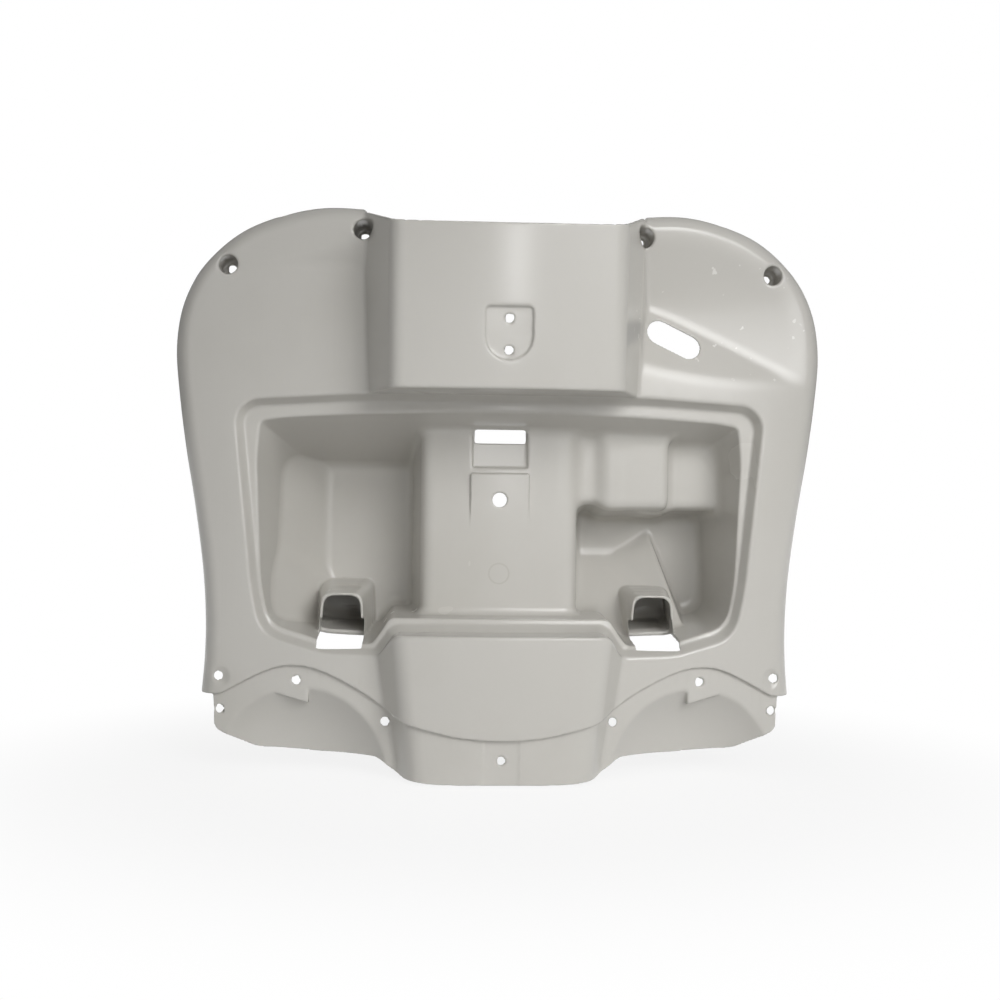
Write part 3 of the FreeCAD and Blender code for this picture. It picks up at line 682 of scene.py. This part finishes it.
def surface_net(field):
    """Points, in grid steps, and quads of the surface where a field on a grid is zero."""
    inside = field < 0.0
    count = np.zeros([size - 1 for size in field.shape], np.int8)
    corners = [(i, j, k) for i in (0, 1) for j in (0, 1) for k in (0, 1)]
    for i, j, k in corners:
        count += inside[i:i + count.shape[0], j:j + count.shape[1], k:k + count.shape[2]]
    mixed = (count > 0) & (count < 8)
    cells = np.argwhere(mixed)
    number = np.full(mixed.shape, -1, np.int32)
    number[mixed] = np.arange(len(cells), dtype=np.int32)
    total = np.zeros((len(cells), 3))
    crossings = np.zeros(len(cells))
    for start in corners:
        for axis in range(3):
            if start[axis]:
                continue
            at = cells + start
            step = np.eye(3, dtype=int)[axis]
            first = field[tuple(at.T)]
            second = field[tuple((at + step).T)]
            crossed = (first < 0.0) != (second < 0.0)
            share = first[crossed] / (first[crossed] - second[crossed])
            total[crossed] += np.array(start) + share[:, None] * step
            crossings[crossed] += 1
    points = cells + total / crossings[:, None]
    quads = []
    for axis in range(3):
        u, v = (axis + 1) % 3, (axis + 2) % 3
        first = np.delete(inside, -1, axis)
        second = np.delete(inside, 0, axis)
        edges = np.argwhere(first != second)
        edges = edges[(edges[:, u] > 0) & (edges[:, v] > 0)]
        step_u, step_v = np.eye(3, dtype=int)[u], np.eye(3, dtype=int)[v]
        around = [edges - step_u - step_v, edges - step_v, edges, edges - step_u]
        ring = np.stack([number[tuple(cell.T)] for cell in around], axis=1)
        turned = second[tuple(edges.T)]
        ring[turned] = ring[turned][:, ::-1]
        quads.append(ring)
    return points, np.concatenate(quads)


def sample(grid, points):
    """Values of a grid between its nodes, at points given in grid steps."""
    base = np.clip(points.astype(int), 0, np.array(grid.shape) - 2)
    share = points - base
    result = 0.0
    for i in (0, 1):
        for j in (0, 1):
            for k in (0, 1):
                weight = np.abs(1 - i - share[:, 0]) * np.abs(1 - j - share[:, 1])
                weight = weight * np.abs(1 - k - share[:, 2])
                result = result + weight * grid[base[:, 0] + i, base[:, 1] + j, base[:, 2] + k]
    return result


def mesh_from(name, points, quads):
    """Mesh of quads from arrays."""
    mesh = bpy.data.meshes.new(name)
    mesh.vertices.add(len(points))
    mesh.vertices.foreach_set("co", points.astype(np.float32).ravel())
    mesh.loops.add(4 * len(quads))
    mesh.loops.foreach_set("vertex_index", quads.astype(np.int32).ravel())
    mesh.polygons.add(len(quads))
    mesh.polygons.foreach_set("loop_start", np.arange(0, 4 * len(quads), 4, dtype=np.int32))
    mesh.update(calc_edges=True)
    return mesh


def fewer_faces(mesh, faces):
    """The mesh with about as many triangles as asked, fewest where it is flat."""
    whole = bpy.data.objects.new(mesh.name + ".whole", mesh)
    bpy.context.collection.objects.link(whole)
    modifier = whole.modifiers.new("Fewer faces", "DECIMATE")
    modifier.ratio = faces / (2.0 * len(mesh.polygons))
    graph = bpy.context.evaluated_depsgraph_get()
    result = bpy.data.meshes.new_from_object(whole.evaluated_get(graph))
    bpy.data.objects.remove(whole)
    bpy.data.meshes.remove(mesh)
    result.name = "leg_shield_moulding"
    return result


def smooth_normals(mesh, slopes, origin, pitch):
    """Shades the two sides of the wall by the field's own slope, and leaves the cut edges as they are."""
    count = len(mesh.vertices)
    points = np.empty(3 * count, np.float32)
    mesh.vertices.foreach_get("co", points)
    points = points.reshape(-1, 3)
    own = np.empty(3 * count, np.float32)
    mesh.vertex_normals.foreach_get("vector", own)
    own = own.reshape(-1, 3)
    steps = (points - origin) / pitch
    slope = np.stack([sample(grid, steps) for grid in slopes], axis=1)
    slope /= np.linalg.norm(slope, axis=1, keepdims=True) + 1e-9
    agreed = np.sum(slope * own, axis=1, keepdims=True)
    share = np.clip((np.abs(agreed) - AGREED_FROM) / AGREED_OVER, 0.0, 1.0)
    normal = own * (1.0 - share) + slope * np.sign(agreed) * share
    normal /= np.linalg.norm(normal, axis=1, keepdims=True)
    mesh.polygons.foreach_set("use_smooth", np.ones(len(mesh.polygons), bool))
    mesh.normals_split_custom_set_from_vertices([tuple(at) for at in normal])


def moulded_mesh(settings):
    """The whole moulding as one closed mesh, in metres in the frame."""
    pitch = settings.pitch * 1000.0
    wall = settings.wall * 1000.0
    shift = (0.0, PAD_DEPTH, 0.0)
    lowest = np.array([1000.0 * at for at in CAD_BOX[0]]) + shift - GRID_MARGIN * pitch
    highest = np.array([1000.0 * at for at in CAD_BOX[1]]) + shift + GRID_MARGIN * pitch
    axes = [np.arange(low, high, pitch, dtype=np.float32) for low, high in zip(lowest, highest)]
    x = axes[0].reshape(-1, 1, 1)
    d = axes[1].reshape(1, -1, 1)
    z = axes[2].reshape(1, 1, -1)
    form = front_form(x, d, z)
    shell = soft_max(form, -form - wall, CUT_ROUND)
    shell = soft_max(shell, kept_space(x, d, z), CUT_ROUND)
    shell = soft_min(shell, pad(x, d, z), CUT_ROUND)
    shell = add_collars(shell, x, d, z)
    shell = cut_holes(shell, form, x, d, z)
    steps, quads = surface_net(shell)
    origin = (lowest - shift) / 1000.0
    mesh = mesh_from("leg_shield_moulding", origin + steps * settings.pitch, quads)
    mesh = fewer_faces(mesh, settings.faces)
    smooth_normals(mesh, np.gradient(form), origin, settings.pitch)
    return mesh


class Flow:
    """A value in a node tree. Sums and products of such values add Math nodes."""

    def __init__(self, tree, socket=None):
        self.tree = tree
        self.socket = socket

    def node(self, kind, settings, sockets, output=0):
        """Adds a node with its settings first and then its sockets, and gives one of its outputs."""
        added = self.tree.nodes.new(kind)
        for name, value in settings.items():
            setattr(added, name, value)
        for name, value in sockets.items():
            if isinstance(value, Flow):
                self.tree.links.new(value.socket, added.inputs[name])
            else:
                added.inputs[name].default_value = value
        return Flow(self.tree, added.outputs[output] if added.outputs else None)

    def math(self, operation, first, second):
        return self.node("ShaderNodeMath", {"operation": operation}, {0: first, 1: second})

    def __add__(self, other):
        return self.math("ADD", self, other)

    def __radd__(self, other):
        return self.math("ADD", other, self)

    def __sub__(self, other):
        return self.math("SUBTRACT", self, other)

    def __rsub__(self, other):
        return self.math("SUBTRACT", other, self)

    def __mul__(self, other):
        return self.math("MULTIPLY", self, other)

    def __rmul__(self, other):
        return self.math("MULTIPLY", other, self)

    def between(self, low, high):
        """Rises smoothly from 0 at one value to 1 at another."""
        return self.node("ShaderNodeMapRange", {"interpolation_type": "SMOOTHSTEP"},
                         {"Value": self, "From Min": low, "From Max": high})

    def noise(self, scale, detail):
        """Cloudy pattern over these coordinates."""
        return self.node("ShaderNodeTexNoise", {}, {"Vector": self, "Scale": scale, "Detail": detail})

    def size(self):
        """The value without its sign."""
        return self.node("ShaderNodeMath", {"operation": "ABSOLUTE"}, {0: self})

    def away(self, middle, squash):
        """Distance of a place from a middle, with each direction squashed by a factor."""
        moved = self.node("ShaderNodeVectorMath", {"operation": "SUBTRACT"}, {0: self, 1: middle})
        scaled = self.node("ShaderNodeVectorMath", {"operation": "MULTIPLY"}, {0: moved, 1: squash})
        return self.node("ShaderNodeVectorMath", {"operation": "LENGTH"}, {0: scaled}, "Value")

    def tint(self, first, second):
        """Colour between two colours, by this value."""
        return self.node("ShaderNodeMix", {"data_type": "RGBA"}, {0: self, 6: first, 7: second}, 2)


def new_material(name):
    material = bpy.data.materials.new(name)
    material.use_nodes = True
    material.node_tree.nodes.clear()
    return material, Flow(material.node_tree)


def moulded_ring(place):
    """Faint ring mark on the column cover inside the box."""
    gap = place.away(RING_AT, (1.0, 0.0, 1.0)) - RING_RADIUS
    line = 1.0 - gap.size().between(*RING_LINE)
    near = 1.0 - place.away(RING_AT, (1.0, 1.0, 1.0)).between(*RING_NEAR)
    return line * near


def worn_specks(place):
    """Small pale scuffs on the right wing, around the key switch recess."""
    spots = place.noise(SPECK_SCALE, 3.0).between(*SPECK_RANGE)
    patch = 1.0 - place.away(SCUFF_AT, SCUFF_SQUASH).between(*SCUFF_NEAR)
    return spots * patch


def plastic_material(settings):
    """Light warm grey moulded plastic with a gloss skin, a little dulled, marked and scuffed."""
    material, flow = new_material("shield_plastic")
    place = flow.node("ShaderNodeTexCoord", {}, {}, "Object")
    dulled = place.noise(CLOUD_SCALE, 4.0).between(*CLOUD_RANGE)
    grain = place.noise(GRAIN_SCALE, 2.0)
    worn = worn_specks(place)
    darker = dulled * CLOUD_TINT + grain * GRAIN_TINT + moulded_ring(place) * RING_TINT
    base = darker.tint((*settings.plastic, 1.0), (*settings.aged, 1.0))
    colour = (worn * SCUFF_TINT).tint(base, (*settings.scuff, 1.0))
    roughness = settings.gloss + dulled * CLOUD_ROUGHNESS + worn * SCUFF_ROUGHNESS
    bump = flow.node("ShaderNodeBump", {}, {
        "Strength": UNEVEN_STRENGTH, "Distance": UNEVEN_DEPTH, "Height": place.noise(UNEVEN_SCALE, 3.0)})
    shader = flow.node("ShaderNodeBsdfPrincipled", {}, {
        "Base Color": colour, "Roughness": roughness, "Normal": bump, "IOR": 1.5})
    flow.node("ShaderNodeOutputMaterial", {}, {"Surface": shader})
    return material


def floor_material(settings):
    """Pale floor that keeps a soft shadow and shows near white to the camera."""
    material, flow = new_material("pale_floor")
    path = flow.tree.nodes.new("ShaderNodeLightPath")
    seen = flow.math("MAXIMUM", Flow(flow.tree, path.outputs["Is Camera Ray"]),
                     flow.math("MAXIMUM", Flow(flow.tree, path.outputs["Is Glossy Ray"]),
                               Flow(flow.tree, path.outputs["Is Transmission Ray"])))
    dull = flow.node("ShaderNodeBsdfDiffuse", {}, {"Color": (*settings.floor, 1.0)})
    white = flow.node("ShaderNodeEmission", {}, {"Color": WHITE, "Strength": 1.0})
    place = flow.node("ShaderNodeTexCoord", {}, {}, "Object")
    away = place.away((0.0, 0.0, 0.0), (1.0, 1.0, 1.0))
    shown = seen * (1.0 - FLOOR_SHADE + away.between(*FLOOR_FADE) * FLOOR_SHADE)
    shader = flow.node("ShaderNodeMixShader", {}, {0: shown, 1: dull, 2: white})
    flow.node("ShaderNodeOutputMaterial", {}, {"Surface": shader})
    return material


def aim(thing, place, target, roll=0.0):
    """Puts a lamp or camera at a place, turned to a target."""
    thing.location = place
    turn = (Vector(target) - Vector(place)).to_track_quat("-Z", "Y").to_matrix()
    thing.rotation_euler = (turn @ Matrix.Rotation(roll, 3, "Z")).to_euler()


def lamp(name, power, width, height, place, target, spread):
    """Oblong lamp, turned to a target."""
    data = bpy.data.lights.new(name, "AREA")
    data.shape = "RECTANGLE"
    data.size = width
    data.size_y = height
    data.energy = power
    data.spread = math.radians(spread)
    thing = bpy.data.objects.new(name, data)
    bpy.context.collection.objects.link(thing)
    aim(thing, place, target)


def camera():
    """Camera straight in front of the box and a little to its left, with a normal lens."""
    data = bpy.data.cameras.new("camera")
    data.lens = CAMERA_LENS
    data.sensor_width = CAMERA_SENSOR
    thing = bpy.data.objects.new("camera", data)
    bpy.context.collection.objects.link(thing)
    aim(thing, CAMERA_AT, CAMERA_TARGET, math.radians(CAMERA_ROLL))
    bpy.context.scene.camera = thing


def world(settings):
    """White where it is seen, and an even weaker light elsewhere."""
    sky = bpy.data.worlds.new("studio")
    sky.use_nodes = True
    sky.node_tree.nodes.clear()
    flow = Flow(sky.node_tree)
    path = flow.tree.nodes.new("ShaderNodeLightPath")
    seen = Flow(flow.tree, path.outputs["Is Camera Ray"])
    even = flow.node("ShaderNodeBackground", {}, {"Color": WHITE, "Strength": settings.ambient})
    white = flow.node("ShaderNodeBackground", {}, {"Color": WHITE, "Strength": 1.0})
    shader = flow.node("ShaderNodeMixShader", {}, {0: seen, 1: even, 2: white})
    flow.node("ShaderNodeOutputWorld", {}, {"Surface": shader})
    bpy.context.scene.world = sky


class GLOVEBOX_OT_shield(bpy.types.Operator):
    """Builds the moulded shield with its soft edges"""
    bl_idname = "glovebox.shield"
    bl_label = "Moulded shield"

    def execute(self, context):
        settings = context.scene.shield_settings
        mesh = moulded_mesh(settings)
        shield = bpy.data.objects.new("leg_shield_moulding", mesh)
        context.collection.objects.link(shield)
        mesh.materials.clear()
        mesh.materials.append(plastic_material(settings))
        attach(shield, "root")
        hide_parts("leg_shield")
        return {"FINISHED"}


class GLOVEBOX_OT_studio(bpy.types.Operator):
    """Sets up the floor, the lamps and the camera"""
    bl_idname = "glovebox.studio"
    bl_label = "Studio"

    def execute(self, context):
        settings = context.scene.studio_settings
        half = FLOOR_HALF
        corners = [(-half, -half, 0), (half, -half, 0), (half, half, 0), (-half, half, 0)]
        mesh = bpy.data.meshes.new("floor")
        mesh.from_pydata(corners, [], [(0, 1, 2, 3)])
        mesh.materials.append(floor_material(settings))
        floor = bpy.data.objects.new("floor", mesh)
        floor.location.z = CAD_BOX[0][2] - FLOOR_GAP
        context.collection.objects.link(floor)
        lamp("key_lamp", settings.key, *KEY_LAMP)
        lamp("fill_lamp", settings.fill, *FILL_LAMP)
        lamp("strip_lamp", settings.strip, *STRIP_LAMP)
        world(settings)
        camera()
        context.scene.view_settings.view_transform = "Standard"
        return {"FINISHED"}


class GLOVEBOX_PT_panel(bpy.types.Panel):
    """Lists the steps that build the scene"""
    bl_idname = "GLOVEBOX_PT_panel"
    bl_label = "Glove box"
    bl_space_type = "VIEW_3D"
    bl_region_type = "UI"
    bl_category = "Glove box"

    def draw(self, context):
        for settings in (context.scene.shield_settings, context.scene.studio_settings):
            for name in settings.__annotations__:
                self.layout.prop(settings, name)
        self.layout.operator(GLOVEBOX_OT_shield.bl_idname)
        self.layout.operator(GLOVEBOX_OT_studio.bl_idname)


CLASSES = (ShieldSettings, StudioSettings, GLOVEBOX_OT_shield, GLOVEBOX_OT_studio, GLOVEBOX_PT_panel)


def register():
    for each in CLASSES:
        bpy.utils.register_class(each)
    bpy.types.Scene.shield_settings = bpy.props.PointerProperty(type=ShieldSettings)
    bpy.types.Scene.studio_settings = bpy.props.PointerProperty(type=StudioSettings)


def unregister():
    del bpy.types.Scene.studio_settings
    del bpy.types.Scene.shield_settings
    for each in reversed(CLASSES):
        bpy.utils.unregister_class(each)


def main():
    register()
    bpy.ops.glovebox.shield()
    bpy.ops.glovebox.studio()


if __name__ == "__main__":
    main()
